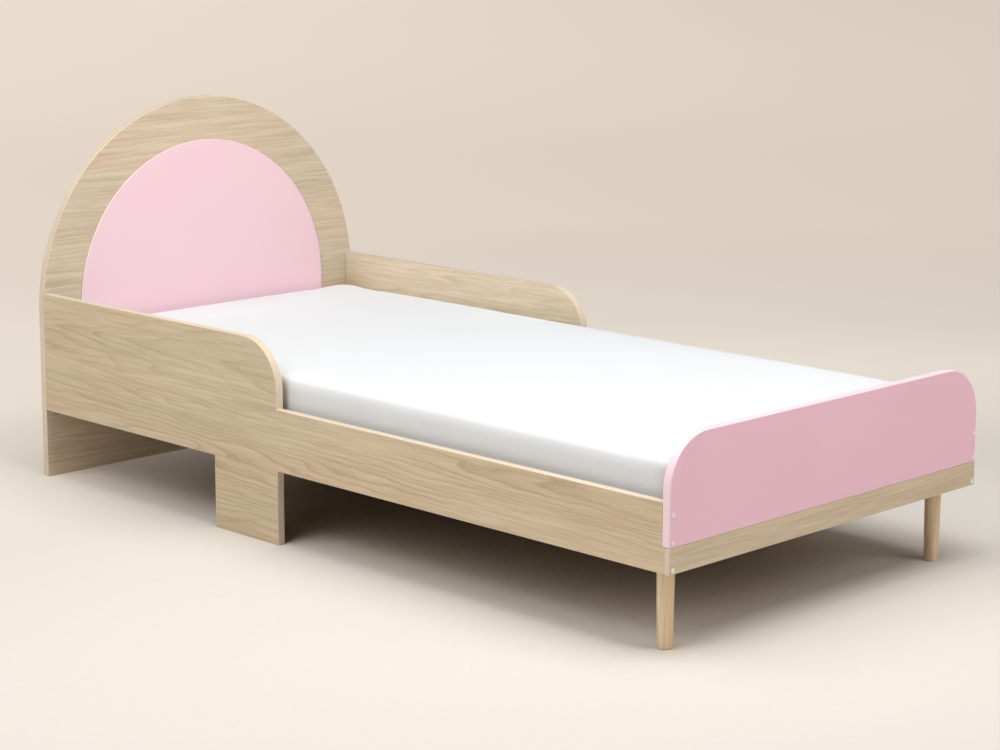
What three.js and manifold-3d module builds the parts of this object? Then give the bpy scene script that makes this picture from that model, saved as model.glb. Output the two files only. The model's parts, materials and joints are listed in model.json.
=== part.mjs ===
// A child's low single bed, in millimetres.
// +X is to the right seen from the foot end, +Y points to the headboard, +Z is up.
// The origin is on the floor, under the middle of the bed.

import * as THREE from "three";
import { mergeVertices } from "three/addons/utils/BufferGeometryUtils.js";
import Module from "manifold-3d";

const wasm = await Module();
wasm.setup();

// Mattress
const MATTRESS_WIDTH = 900;
const MATTRESS_LENGTH = 1900;
const MATTRESS_THICKNESS = 120;
const MATTRESS_CORNER_RADIUS = 45; // seen from above
const MATTRESS_EDGE_RADIUS = 20; // along its top and bottom edges
const MATTRESS_SIDE_CLEARANCE = 7; // to each side panel
const MATTRESS_END_CLEARANCE = 2; // to the headboard's inlay and to the foot panel

// Boards
const BOARD_THICKNESS = 18; // headboard, side panels and foot panel
const FOOT_RAIL_THICKNESS = 12;
const INLAY_THICKNESS = 4;
const SEAM = 0.3; // gap left wherever two pieces meet

// Heights of the frame
const FLOOR_CLEARANCE = 160; // floor to the underside of the rails
const SIDE_RAIL_HEIGHT = 132;
const GUARD_RISE = 143; // guard's top above the side rail's top
const FOOT_RAIL_DROP = 15.6; // foot rail's top below the battens' top
const FOOT_PANEL_HEIGHT = 203;
const MATTRESS_RECESS = 50; // how deep the mattress sits below the side rail's top

// Headboard
const ARCH_CENTRE_HEIGHT = 390;
const INLAY_BORDER = 105; // wood left showing around the inlay

// Side panels, lengths measured from the headboard's inner face
const GUARD_LENGTH = 840;
const GUARD_END_RADIUS = 107;
const LEG_BOARD_WIDTH = 210;

// Foot panel and round legs
const FOOT_CORNER_RADIUS = 100;
const LEG_INSET = 59; // leg's axis from the outer faces of the frame
const LEG_TOP_RADIUS = 17;
const LEG_BOTTOM_RADIUS = 15;
const LEG_EDGE = 1.5; // eased edge of the leg's foot
const LEG_PLATE_MARGIN = 10; // plate's edge from the edge of the block above it
const LEG_PLATE_THICKNESS = 2.5;
const LEG_BOLT_RADIUS = 4;
const LEG_BOLT_DEPTH = 30; // into the leg, and into the block above it
const LEG_BOLT_TIP = 1;

// Slatted base
const BATTEN_THICKNESS = 20;
const BATTEN_HEIGHT = 40;
const SLAT_COUNT = 14;
const SLAT_WIDTH = 70;
const SLAT_THICKNESS = 15;
const SLAT_END_CLEARANCE = 3; // to each side panel
const SLAT_MARGIN = 10; // first and last slat to the end boards
const STRAP_WIDTH = 25;
const STRAP_THICKNESS = 1.5;
const STRAP_INSET = 150; // strap's centre from the side panel's inner face

// Frame screws, which run along Y into the ends of the side panels
const SCREW_LENGTH = 50;
const SCREW_HEAD_RADIUS = 4.6;
const SCREW_HEAD_DEPTH = 3;
const SCREW_HEAD_RIM = 0.6;
const SCREW_SHANK_RADIUS = 3.4;
const SCREW_THREAD_RADIUS = 3;
const SCREW_TIP_RADIUS = 0.8;
const SCREW_TIP_LENGTH = 5;
const RAIL_SCREW_LIFT = 8; // foot rail's screw above its underside
const PANEL_SCREW_LIFT = 10; // foot panel's lower screw above the foot rail's top
const PANEL_SCREW_DROP = 22; // foot panel's upper screw below the side rail's top
const HEAD_SCREW_MARGIN = 30; // highest and lowest head screw from the side panel's edges
const CAP_RADIUS = 5;
const CAP_THICKNESS = 1;
const CAP_EDGE = 0.4;

// Straight steps in each arc or round
const ARCH_STEPS = 96;
const CORNER_STEPS = 16;
const LEG_STEPS = 28;
const SCREW_STEPS = 12;
const MATTRESS_CORNER_STEPS = 8;
const MATTRESS_EDGE_STEPS = 3;

// Plan of the frame
const FRAME_WIDTH = MATTRESS_WIDTH + 2 * (MATTRESS_SIDE_CLEARANCE + BOARD_THICKNESS);
const INNER_LENGTH = MATTRESS_LENGTH + 2 * MATTRESS_END_CLEARANCE + INLAY_THICKNESS;
const FRAME_LENGTH = INNER_LENGTH + 2 * BOARD_THICKNESS;
const OUTER_X = FRAME_WIDTH / 2;
const INNER_X = OUTER_X - BOARD_THICKNESS;
const HEAD_Y = FRAME_LENGTH / 2;
const FOOT_Y = -HEAD_Y;
const HEADBOARD_FACE_Y = HEAD_Y - BOARD_THICKNESS;
const INLAY_FACE_Y = HEADBOARD_FACE_Y - INLAY_THICKNESS;
const FOOT_PANEL_BACK_Y = FOOT_Y + BOARD_THICKNESS;
const FOOT_RAIL_BACK_Y = FOOT_Y + FOOT_RAIL_THICKNESS;
const LEG_X = OUTER_X - LEG_INSET;
const LEG_Y = FOOT_Y + LEG_INSET;
const BLOCK_SIZE = 2 * (LEG_INSET - BOARD_THICKNESS - SEAM); // centred on the leg's axis
const BLOCK_HEAD_Y = LEG_Y + BLOCK_SIZE / 2;
const SCREW_X = OUTER_X - BOARD_THICKNESS / 2;

// Heights, from the floor
const RAIL_TOP = FLOOR_CLEARANCE + SIDE_RAIL_HEIGHT;
const GUARD_TOP = RAIL_TOP + GUARD_RISE;
const MATTRESS_BOTTOM = RAIL_TOP - MATTRESS_RECESS;
const STRAP_BOTTOM = MATTRESS_BOTTOM - SEAM - STRAP_THICKNESS;
const SLAT_BOTTOM = STRAP_BOTTOM - SEAM - SLAT_THICKNESS;
const BATTEN_TOP = SLAT_BOTTOM - SEAM;
const BATTEN_BOTTOM = BATTEN_TOP - BATTEN_HEIGHT;
const FOOT_RAIL_TOP = BATTEN_TOP - FOOT_RAIL_DROP;
const FOOT_RAIL_HEIGHT = FOOT_RAIL_TOP - FLOOR_CLEARANCE;
const FOOT_BATTEN_BOTTOM = FLOOR_CLEARANCE + FOOT_RAIL_HEIGHT / 2;
const BLOCK_BOTTOM = FLOOR_CLEARANCE + LEG_PLATE_THICKNESS + SEAM;
const LEG_HEIGHT = FLOOR_CLEARANCE - SEAM;

// Left and right are as seen from the foot end.
const SIDES = [
  { side: "left", sign: -1 },
  { side: "right", sign: 1 },
];

// ---- solids ----

// Boolean solid of a closed three.js geometry.
function solidOf(geometry) {
  const bare = geometry.clone();
  bare.deleteAttribute("normal");
  bare.deleteAttribute("uv");
  const merged = mergeVertices(bare, 1e-4);
  return new wasm.Manifold(
    new wasm.Mesh({
      numProp: 3,
      vertProperties: merged.attributes.position.array,
      triVerts: new Uint32Array(merged.index.array),
    }),
  );
}

function geometryOf(solid) {
  const { vertProperties, triVerts } = solid.getMesh();
  const geometry = new THREE.BufferGeometry();
  geometry.setAttribute("position", new THREE.BufferAttribute(vertProperties, 3));
  geometry.setIndex(new THREE.BufferAttribute(triVerts, 1));
  return geometry;
}

// Geometry with every cutter taken away from it.
function cut(geometry, cutters) {
  const rest = cutters.reduce((body, cutter) => body.subtract(solidOf(cutter)), solidOf(geometry));
  return geometryOf(rest);
}

function join(first, second) {
  return geometryOf(solidOf(first).add(solidOf(second)));
}

// A shape's arcs are cut into twice as many steps as curveSegments.
function extrude(shape, depth, arcSteps = CORNER_STEPS) {
  const curveSegments = arcSteps / 2;
  return new THREE.ExtrudeGeometry(shape, { depth, curveSegments, bevelEnabled: false });
}

// Board whose outline is drawn in X and Z, from yLow to yHigh.
function boardAcrossY(shape, yLow, yHigh, arcSteps) {
  return extrude(shape, yHigh - yLow, arcSteps)
    .rotateX(Math.PI / 2)
    .translate(0, yHigh, 0);
}

// Board whose outline is drawn in Y and Z, from xLow to xHigh.
function boardAcrossX(shape, xLow, xHigh) {
  return extrude(shape, xHigh - xLow)
    .rotateZ(Math.PI / 2)
    .rotateY(Math.PI / 2)
    .translate(xLow, 0, 0);
}

function box(width, length, height) {
  return new THREE.BoxGeometry(width, length, height);
}

function boxBetween([x0, y0, z0], [x1, y1, z1]) {
  return box(x1 - x0, y1 - y0, z1 - z0).translate((x0 + x1) / 2, (y0 + y1) / 2, (z0 + z1) / 2);
}

// Solid of revolution about +Z, from radius and height pairs that start and end on the axis.
function turned(profile, steps) {
  const points = profile.map(([radius, height]) => new THREE.Vector2(radius, height));
  return new THREE.LatheGeometry(points, steps).rotateX(Math.PI / 2);
}

// Straight sides up to the arch's centre height, then a half circle.
function archOutline(radius, bottom) {
  const shape = new THREE.Shape();
  shape.moveTo(-radius, bottom);
  shape.lineTo(radius, bottom);
  shape.absarc(0, ARCH_CENTRE_HEIGHT, radius, 0, Math.PI, false);
  shape.closePath();
  return shape;
}

// ---- materials ----

const finish = (name, color, roughness, metalness = 0) => () =>
  new THREE.MeshStandardMaterial({ name, color, roughness, metalness });

const oakEffect = finish("oak_effect", 0xd0b58c, 0.55);
const turnedOak = finish("turned_oak", 0xb99c74, 0.5);
const pinkLacquer = finish("pink_lacquer", 0xeab8c4, 0.42);
const pine = finish("pine", 0xd9c096, 0.65);
const whiteCover = finish("white_cover", 0xf3f3f1, 0.9);
const webbing = finish("webbing", 0xe4e0d6, 0.9);
const zincSteel = finish("zinc_steel", 0xb8bcc0, 0.35, 1);
const pinkCap = finish("pink_cap", 0xf3ccd5, 0.45);
const creamCap = finish("cream_cap", 0xeadbc0, 0.45);

// ---- frame screws and their caps ----

// Countersunk screw pointing to -Z with the top of its head at 0. Grown by the seam, it is its bore.
function screw(grow = 0) {
  const bottom = -SCREW_LENGTH - grow;
  const tipStart = SCREW_TIP_LENGTH - SCREW_LENGTH;
  return turned(
    [
      [0, bottom],
      [SCREW_TIP_RADIUS + grow, bottom],
      [SCREW_THREAD_RADIUS + grow, tipStart],
      [SCREW_THREAD_RADIUS + grow, -BOARD_THICKNESS],
      [SCREW_SHANK_RADIUS + grow, -BOARD_THICKNESS],
      [SCREW_SHANK_RADIUS + grow, -SCREW_HEAD_DEPTH],
      [SCREW_HEAD_RADIUS + grow, -SCREW_HEAD_RIM],
      [SCREW_HEAD_RADIUS + grow, grow],
      [0, grow],
    ],
    SCREW_STEPS,
  );
}

// Thin stick-on disc over a screw head, on +Z.
function screwCap() {
  return turned(
    [
      [0, 0],
      [CAP_RADIUS, 0],
      [CAP_RADIUS, CAP_THICKNESS - CAP_EDGE],
      [CAP_RADIUS - CAP_EDGE, CAP_THICKNESS],
      [0, CAP_THICKNESS],
    ],
    SCREW_STEPS,
  );
}

// The two ends of the frame: the face the screws go in at, which way it faces, and their heights.
const FOOT_JOINT = {
  end: "foot",
  faceY: FOOT_Y,
  outward: -1,
  heights: [
    FLOOR_CLEARANCE + RAIL_SCREW_LIFT,
    FOOT_RAIL_TOP + PANEL_SCREW_LIFT,
    RAIL_TOP - PANEL_SCREW_DROP,
  ],
};
const HEAD_JOINT = {
  end: "head",
  faceY: HEAD_Y,
  outward: 1,
  heights: [
    FLOOR_CLEARANCE + HEAD_SCREW_MARGIN,
    (FLOOR_CLEARANCE + GUARD_TOP) / 2,
    GUARD_TOP - HEAD_SCREW_MARGIN,
  ],
};

// Turn about X that points a screw's or cap's +Z out of an end of the bed.
function turnOutward(outward) {
  return (-outward * Math.PI) / 2;
}

// Bores for the screws of one joint on one side of the bed.
function screwBores(joint, x) {
  return joint.heights.map((height) =>
    screw(SEAM).rotateX(turnOutward(joint.outward)).translate(x, joint.faceY, height),
  );
}

function bothSidesBores(joint) {
  return SIDES.flatMap(({ sign }) => screwBores(joint, sign * SCREW_X));
}

// ---- pieces ----

function headboard() {
  const board = boardAcrossY(archOutline(OUTER_X, 0), HEADBOARD_FACE_Y, HEAD_Y, ARCH_STEPS);
  return cut(board, bothSidesBores(HEAD_JOINT));
}

function headboardInlay() {
  const shape = archOutline(OUTER_X - INLAY_BORDER, RAIL_TOP);
  return boardAcrossY(shape, INLAY_FACE_Y, HEADBOARD_FACE_Y - SEAM, ARCH_STEPS);
}

// One board: side rail, raised guard with a rounded end, and the board leg under the guard's end.
function sidePanelOutline() {
  const headEnd = HEADBOARD_FACE_Y - SEAM;
  const guardEnd = HEADBOARD_FACE_Y - GUARD_LENGTH;
  const shape = new THREE.Shape();
  shape.moveTo(FOOT_RAIL_BACK_Y + SEAM, FLOOR_CLEARANCE);
  shape.lineTo(guardEnd, FLOOR_CLEARANCE);
  shape.lineTo(guardEnd, 0);
  shape.lineTo(guardEnd + LEG_BOARD_WIDTH, 0);
  shape.lineTo(guardEnd + LEG_BOARD_WIDTH, FLOOR_CLEARANCE);
  shape.lineTo(headEnd, FLOOR_CLEARANCE);
  shape.lineTo(headEnd, GUARD_TOP);
  shape.absarc(
    guardEnd + GUARD_END_RADIUS,
    GUARD_TOP - GUARD_END_RADIUS,
    GUARD_END_RADIUS,
    Math.PI / 2,
    Math.PI,
    false,
  );
  shape.lineTo(guardEnd, RAIL_TOP);
  shape.lineTo(FOOT_PANEL_BACK_Y + SEAM, RAIL_TOP);
  shape.lineTo(FOOT_PANEL_BACK_Y + SEAM, FOOT_RAIL_TOP);
  shape.lineTo(FOOT_RAIL_BACK_Y + SEAM, FOOT_RAIL_TOP);
  shape.closePath();
  return shape;
}

function sidePanel(sign) {
  const xLow = sign > 0 ? INNER_X : -OUTER_X;
  const panel = boardAcrossX(sidePanelOutline(), xLow, xLow + BOARD_THICKNESS);
  const bores = [FOOT_JOINT, HEAD_JOINT].flatMap((joint) => screwBores(joint, sign * SCREW_X));
  return cut(panel, bores);
}

function footPanel() {
  const bottom = FOOT_RAIL_TOP + SEAM;
  const top = FOOT_RAIL_TOP + FOOT_PANEL_HEIGHT;
  const cornerX = OUTER_X - FOOT_CORNER_RADIUS;
  const cornerZ = top - FOOT_CORNER_RADIUS;
  const shape = new THREE.Shape();
  shape.moveTo(-OUTER_X, bottom);
  shape.lineTo(OUTER_X, bottom);
  shape.absarc(cornerX, cornerZ, FOOT_CORNER_RADIUS, 0, Math.PI / 2, false);
  shape.absarc(-cornerX, cornerZ, FOOT_CORNER_RADIUS, Math.PI / 2, Math.PI, false);
  shape.closePath();
  return cut(boardAcrossY(shape, FOOT_Y, FOOT_PANEL_BACK_Y), bothSidesBores(FOOT_JOINT));
}

function footRail() {
  const rail = box(FRAME_WIDTH, FOOT_RAIL_THICKNESS, FOOT_RAIL_HEIGHT).translate(
    0,
    FOOT_Y + FOOT_RAIL_THICKNESS / 2,
    FLOOR_CLEARANCE + FOOT_RAIL_HEIGHT / 2,
  );
  return cut(rail, bothSidesBores(FOOT_JOINT));
}

// Block behind both the foot panel and the foot rail. The rail is thinner, so the block is thicker
// below the rail's top and bears on both.
function blockBehindFoot(xLow, xHigh, yHigh, bottom) {
  const block = boxBetween([xLow, FOOT_PANEL_BACK_Y + SEAM, bottom], [xHigh, yHigh, BATTEN_TOP]);
  const low = [xLow, FOOT_RAIL_BACK_Y + SEAM, bottom];
  return join(block, boxBetween(low, [xHigh, yHigh, FOOT_RAIL_TOP]));
}

function cornerBlock(sign) {
  const x = sign * LEG_X;
  const half = BLOCK_SIZE / 2;
  const block = blockBehindFoot(x - half, x + half, BLOCK_HEAD_Y, BLOCK_BOTTOM);
  const boreRadius = LEG_BOLT_RADIUS + SEAM;
  const boreTop = LEG_BOLT_DEPTH + LEG_PLATE_THICKNESS + SEAM;
  const bore = turned([[0, 0], [boreRadius, 0], [boreRadius, boreTop], [0, boreTop]], SCREW_STEPS);
  return cut(block, [bore.translate(x, LEG_Y, FLOOR_CLEARANCE)]);
}

// Made about its own axis, with its underside at 0.
function legPlate() {
  const half = BLOCK_SIZE / 2 - LEG_PLATE_MARGIN;
  const corners = [[-half, -half], [half, -half], [half, half], [-half, half]];
  const shape = new THREE.Shape(corners.map(([x, y]) => new THREE.Vector2(x, y)));
  const hole = new THREE.Path();
  hole.absarc(0, 0, LEG_BOLT_RADIUS + SEAM, 0, 2 * Math.PI, true);
  shape.holes.push(hole);
  return extrude(shape, LEG_PLATE_THICKNESS, SCREW_STEPS);
}

// Made about its own axis, with the middle of its length at 0.
function legBolt() {
  const half = LEG_BOLT_DEPTH;
  const neck = LEG_BOLT_RADIUS - LEG_BOLT_TIP;
  return turned(
    [
      [0, -half],
      [neck, -half],
      [LEG_BOLT_RADIUS, LEG_BOLT_TIP - half],
      [LEG_BOLT_RADIUS, half - LEG_BOLT_TIP],
      [neck, half],
      [0, half],
    ],
    SCREW_STEPS,
  );
}

// Tapered leg standing on 0, with a blind bore for the bolt in its top.
function leg() {
  const boreRadius = LEG_BOLT_RADIUS + SEAM;
  const boreBottom = FLOOR_CLEARANCE - LEG_BOLT_DEPTH - SEAM;
  return turned(
    [
      [0, 0],
      [LEG_BOTTOM_RADIUS - LEG_EDGE, 0],
      [LEG_BOTTOM_RADIUS, LEG_EDGE],
      [LEG_TOP_RADIUS, LEG_HEIGHT],
      [boreRadius, LEG_HEIGHT],
      [boreRadius, boreBottom],
      [0, boreBottom],
    ],
    LEG_STEPS,
  );
}

// Rounded block, made about its own middle.
function mattress() {
  const edge = MATTRESS_EDGE_RADIUS;
  const halfWidth = MATTRESS_WIDTH / 2 - edge;
  const halfLength = MATTRESS_LENGTH / 2 - edge;
  const radius = MATTRESS_CORNER_RADIUS - edge;
  const shape = new THREE.Shape();
  shape.absarc(halfWidth - radius, halfLength - radius, radius, 0, Math.PI / 2, false);
  shape.absarc(radius - halfWidth, halfLength - radius, radius, Math.PI / 2, Math.PI, false);
  shape.absarc(radius - halfWidth, radius - halfLength, radius, Math.PI, 1.5 * Math.PI, false);
  shape.absarc(halfWidth - radius, radius - halfLength, radius, 1.5 * Math.PI, 2 * Math.PI, false);
  return new THREE.ExtrudeGeometry(shape, {
    depth: MATTRESS_THICKNESS - 2 * edge,
    curveSegments: MATTRESS_CORNER_STEPS / 2,
    bevelEnabled: true,
    bevelThickness: edge,
    bevelSize: edge,
    bevelSegments: MATTRESS_EDGE_STEPS,
  }).translate(0, 0, edge - MATTRESS_THICKNESS / 2);
}

// ---- the bed ----

const bed = new THREE.Group();

// Adds one named piece at a place, turned about X.
function add(parent, name, geometry, makeMaterial, [x, y, z] = [0, 0, 0], turnX = 0) {
  const mesh = new THREE.Mesh(geometry, makeMaterial());
  mesh.name = name;
  mesh.position.set(x, y, z);
  mesh.rotation.x = turnX;
  parent.add(mesh);
}

function addJointScrews(joint, side, sign) {
  const turnX = turnOutward(joint.outward);
  joint.heights.forEach((height, i) => {
    const number = i + 1;
    const onPink = joint.end === "foot" && height > FOOT_RAIL_TOP;
    const capMaterial = onPink ? pinkCap : creamCap;
    const capY = joint.faceY + joint.outward * SEAM;
    add(bed, `${joint.end}_screw_${side}_${number}`, screw(), zincSteel,
      [sign * SCREW_X, joint.faceY, height], turnX);
    add(bed, `${joint.end}_cap_${side}_${number}`, screwCap(), capMaterial,
      [sign * SCREW_X, capY, height], turnX);
  });
}

function addLeg(side, sign) {
  const group = new THREE.Group();
  group.position.set(sign * LEG_X, LEG_Y, 0);
  bed.add(group);
  const plateMiddle = FLOOR_CLEARANCE + LEG_PLATE_THICKNESS / 2;
  add(group, `leg_${side}`, leg(), turnedOak);
  add(group, `leg_plate_${side}`, legPlate(), zincSteel, [0, 0, FLOOR_CLEARANCE]);
  add(group, `leg_bolt_${side}`, legBolt(), zincSteel, [0, 0, plateMiddle]);
  add(bed, `corner_block_${side}`, cornerBlock(sign), pine);
}

function addSideBatten(side, sign) {
  const yLow = BLOCK_HEAD_Y + SEAM;
  const yHigh = HEADBOARD_FACE_Y - SEAM;
  const x = sign * (INNER_X - SEAM - BATTEN_THICKNESS / 2);
  const batten = box(BATTEN_THICKNESS, yHigh - yLow, BATTEN_HEIGHT);
  const middle = [x, (yLow + yHigh) / 2, BATTEN_BOTTOM + BATTEN_HEIGHT / 2];
  add(bed, `batten_${side}`, batten, pine, middle);
}

function addEndBattens() {
  const headHalf = INNER_X - 2 * SEAM - BATTEN_THICKNESS;
  const headY = HEADBOARD_FACE_Y - SEAM - BATTEN_THICKNESS / 2;
  add(bed, "batten_head", box(2 * headHalf, BATTEN_THICKNESS, BATTEN_HEIGHT), pine,
    [0, headY, BATTEN_BOTTOM + BATTEN_HEIGHT / 2]);
  const footHalf = LEG_X - BLOCK_SIZE / 2 - SEAM;
  const yHigh = FOOT_PANEL_BACK_Y + SEAM + BATTEN_THICKNESS;
  const footBatten = blockBehindFoot(-footHalf, footHalf, yHigh, FOOT_BATTEN_BOTTOM);
  add(bed, "batten_foot", footBatten, pine);
}

function addSlats() {
  const length = 2 * (INNER_X - SLAT_END_CLEARANCE);
  const first = FOOT_PANEL_BACK_Y + SLAT_MARGIN + SLAT_WIDTH / 2;
  const last = HEADBOARD_FACE_Y - SLAT_MARGIN - SLAT_WIDTH / 2;
  const pitch = (last - first) / (SLAT_COUNT - 1);
  for (let i = 0; i < SLAT_COUNT; i++) {
    const name = `slat_${String(i + 1).padStart(2, "0")}`;
    add(bed, name, box(length, SLAT_WIDTH, SLAT_THICKNESS), pine,
      [0, first + i * pitch, SLAT_BOTTOM + SLAT_THICKNESS / 2]);
  }
}

function addStrap(side, sign) {
  const x = sign * (INNER_X - STRAP_INSET);
  const length = INNER_LENGTH - 2 * SLAT_MARGIN;
  add(bed, `slat_strap_${side}`, box(STRAP_WIDTH, length, STRAP_THICKNESS), webbing,
    [x, 0, STRAP_BOTTOM + STRAP_THICKNESS / 2]);
}

function addMattress() {
  const middleY = (FOOT_PANEL_BACK_Y + INLAY_FACE_Y) / 2;
  add(bed, "mattress", mattress(), whiteCover,
    [0, middleY, MATTRESS_BOTTOM + MATTRESS_THICKNESS / 2]);
}

add(bed, "headboard", headboard(), oakEffect);
add(bed, "headboard_inlay", headboardInlay(), pinkLacquer);
add(bed, "foot_panel", footPanel(), pinkLacquer);
add(bed, "foot_rail", footRail(), oakEffect);
for (const { side, sign } of SIDES) {
  add(bed, `side_panel_${side}`, sidePanel(sign), oakEffect);
  addLeg(side, sign);
  addSideBatten(side, sign);
  addStrap(side, sign);
  addJointScrews(FOOT_JOINT, side, sign);
  addJointScrews(HEAD_JOINT, side, sign);
}
addEndBattens();
addSlats();
addMattress();

export default bed;
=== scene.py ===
"""A child's low bed with an arched headboard, in metres, +Z up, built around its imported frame.

The headboard is at +Y. Left is -X, as seen from the foot end.
"""
import json
import math

import bmesh
import bpy
from mathutils import Matrix, Vector
from mathutils import noise as perlin


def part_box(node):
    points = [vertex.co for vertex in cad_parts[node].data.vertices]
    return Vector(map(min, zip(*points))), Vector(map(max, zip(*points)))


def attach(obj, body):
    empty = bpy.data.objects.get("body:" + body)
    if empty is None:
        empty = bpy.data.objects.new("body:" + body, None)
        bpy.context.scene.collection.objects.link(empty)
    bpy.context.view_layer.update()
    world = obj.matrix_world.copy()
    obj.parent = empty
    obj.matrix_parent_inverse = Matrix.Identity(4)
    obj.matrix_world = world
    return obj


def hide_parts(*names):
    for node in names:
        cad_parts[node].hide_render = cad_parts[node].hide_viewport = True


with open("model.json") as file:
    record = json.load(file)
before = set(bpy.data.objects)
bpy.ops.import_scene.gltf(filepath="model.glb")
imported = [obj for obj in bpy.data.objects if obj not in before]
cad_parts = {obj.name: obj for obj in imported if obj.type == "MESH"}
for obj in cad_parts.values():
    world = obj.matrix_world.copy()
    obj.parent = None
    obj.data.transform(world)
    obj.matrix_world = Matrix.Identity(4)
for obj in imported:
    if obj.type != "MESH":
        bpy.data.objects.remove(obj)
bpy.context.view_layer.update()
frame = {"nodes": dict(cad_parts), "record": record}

# ---- sizes that the boxes of the frame's nodes don't give ----

MATTRESS_RECESS = 0.050  # mattress's underside below the side rail's top
GUARD_LENGTH = 0.840  # from the headboard's inner face
GUARD_END_RADIUS = 0.107
LEG_BOARD_WIDTH = 0.210
FOOT_CORNER_RADIUS = 0.100
SEAM = 0.0003  # gap between pieces that touch

WOOD_EDGE = 0.0010  # easing of the veneered boards' edges
LACQUER_EDGE = 0.0022
INLAY_EDGE = 0.0012
CORNER_EASE = 1.35  # rounding of an outline's corners, times the edge's easing
EDGE_STEPS = 3
ARC_STEP = 0.008  # longest straight step round a large arc
BAND_MAP_STEP = 0.004  # between a board's rings of vertices, in the map of its edge band

SIDES = (("left", -1), ("right", 1))


# ---- outlines and boards ----

def corner_arc(before, corner, after, radius):
    """Points that round one corner of an outline, in order."""
    to_before = (before - corner).normalized()
    to_after = (after - corner).normalized()
    half = to_before.angle(to_after) / 2
    middle = corner + (to_before + to_after).normalized() * (radius / math.sin(half))
    start = corner + to_before * (radius / math.tan(half)) - middle
    turn = math.pi - 2 * half
    if to_before.x * to_after.y - to_before.y * to_after.x > 0:
        turn = -turn
    steps = max(EDGE_STEPS, math.ceil(abs(turn) * radius / ARC_STEP))
    return [middle + Matrix.Rotation(turn * i / steps, 2) @ start for i in range(steps + 1)]


def outline(corners, ease):
    """Counter-clockwise outline through (u, v, radius) corners. Sharp ones get a small radius."""
    flat = [Vector(c[:2]) for c in corners]
    points = []
    for i, corner in enumerate(corners):
        before, after = flat[i - 1], flat[(i + 1) % len(flat)]
        for point in corner_arc(before, flat[i], after, corner[2] or ease):
            if not points or (point - points[-1]).length > 1e-6:
                points.append(point)
    if (points[0] - points[-1]).length < 1e-6:
        points.pop()
    return points


def inset(points, distance):
    """The outline moved inward by a distance, with mitred corners."""
    moved = []
    for i, point in enumerate(points):
        one = (point - points[i - 1]).normalized()
        two = (points[(i + 1) % len(points)] - point).normalized()
        n_one, n_two = Vector((-one.y, one.x)), Vector((-two.y, two.x))
        moved.append(point + (n_one + n_two) * (distance / (1 + n_one.dot(n_two))))
    return moved


def to_xyz(plane, u, v, depth):
    """A point of a board whose outline lies in that plane, and whose depth is along the third axis."""
    return {"XZ": (u, depth, v), "YZ": (depth, u, v), "XY": (u, v, depth)}[plane]


def edge_profile(low, high, edge, steps):
    """(inset, depth) down a board's edge, from its low face to its high one, with both edges eased."""
    turns = [math.pi / 2 * i / steps for i in range(steps + 1)]
    near = [(edge * (1 - math.sin(a)), low + edge * (1 - math.cos(a))) for a in turns]
    far = [(edge * (1 - math.sin(a)), high - edge * (1 - math.cos(a))) for a in reversed(turns)]
    return near + far


def closed_bands(mesh, rings, lengths):
    """Quads between successive rings of vertices, and a face on each end."""
    layer = mesh.loops.layers.uv.new("run")
    count = len(rings[0])
    for k in range(len(rings) - 1):
        for i in range(count):
            j = (i + 1) % count
            face = mesh.faces.new((rings[k][i], rings[k][j], rings[k + 1][j], rings[k + 1][i]))
            face.material_index = 1
            along = (lengths[i], lengths[i + 1], lengths[i + 1], lengths[i])
            for loop, run, level in zip(face.loops, along, (k, k, k + 1, k + 1)):
                loop[layer].uv = (run, BAND_MAP_STEP * level)
    mesh.faces.new(list(reversed(rings[0])))
    mesh.faces.new(rings[-1])


def finish_mesh(mesh, name, materials):
    """A smooth-shaded object from a bmesh, with its flat faces kept flat."""
    bmesh.ops.recalc_face_normals(mesh, faces=mesh.faces)
    data = bpy.data.meshes.new(name)
    for face in mesh.faces:
        face.smooth = True
    mesh.to_mesh(data)
    mesh.free()
    for material in materials:
        data.materials.append(material)
    made = bpy.data.objects.new(name, data)
    bpy.context.scene.collection.objects.link(made)
    flatten_shading(made)
    return made


def flatten_shading(made):
    weighted = made.modifiers.new("normals", "WEIGHTED_NORMAL")
    weighted.keep_sharp = True
    weighted.weight = 100


def board(name, corners, plane, low, high, edge, materials, steps=EDGE_STEPS):
    """A board with eased edges. materials are its faces' and its edges'."""
    points = outline(corners, edge * CORNER_EASE)
    mesh = bmesh.new()
    rings = [
        [mesh.verts.new(to_xyz(plane, p.x, p.y, depth)) for p in inset(points, distance)]
        for distance, depth in edge_profile(low, high, edge, steps)
    ]
    lengths = [0.0]
    for i, point in enumerate(points):
        lengths.append(lengths[-1] + (points[(i + 1) % len(points)] - point).length)
    closed_bands(mesh, rings, lengths)
    return finish_mesh(mesh, name, materials)


def rectangle(u_low, v_low, u_high, v_high, top_radius=0):
    return [
        (u_low, v_low, 0), (u_high, v_low, 0),
        (u_high, v_high, top_radius), (u_low, v_high, top_radius),
    ]


def turned(mesh, profile, centre, axis, steps):
    """Adds a closed turned shape to a bmesh: (radius, height) points along an axis from centre."""
    turn = Vector((0, 0, 1)).rotation_difference(Vector(axis)).to_matrix()
    rings = []
    for radius, height in profile:
        around = range(steps) if radius else (0,)
        spots = [2 * math.pi * i / steps for i in around]
        ring = [Vector((radius * math.cos(a), radius * math.sin(a), height)) for a in spots]
        rings.append([mesh.verts.new(Vector(centre) + turn @ p) for p in ring])
    for low, high in zip(rings, rings[1:]):
        for i in range(steps):
            j = (i + 1) % steps
            corners = [low[i % len(low)], low[j % len(low)], high[j % len(high)], high[i % len(high)]]
            mesh.faces.new(list(dict.fromkeys(corners)))


def place(made, node, body="frame"):
    """Puts a finished piece in a CAD node's stead."""
    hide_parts(node)
    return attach(made, body)


# ---- materials ----

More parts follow.
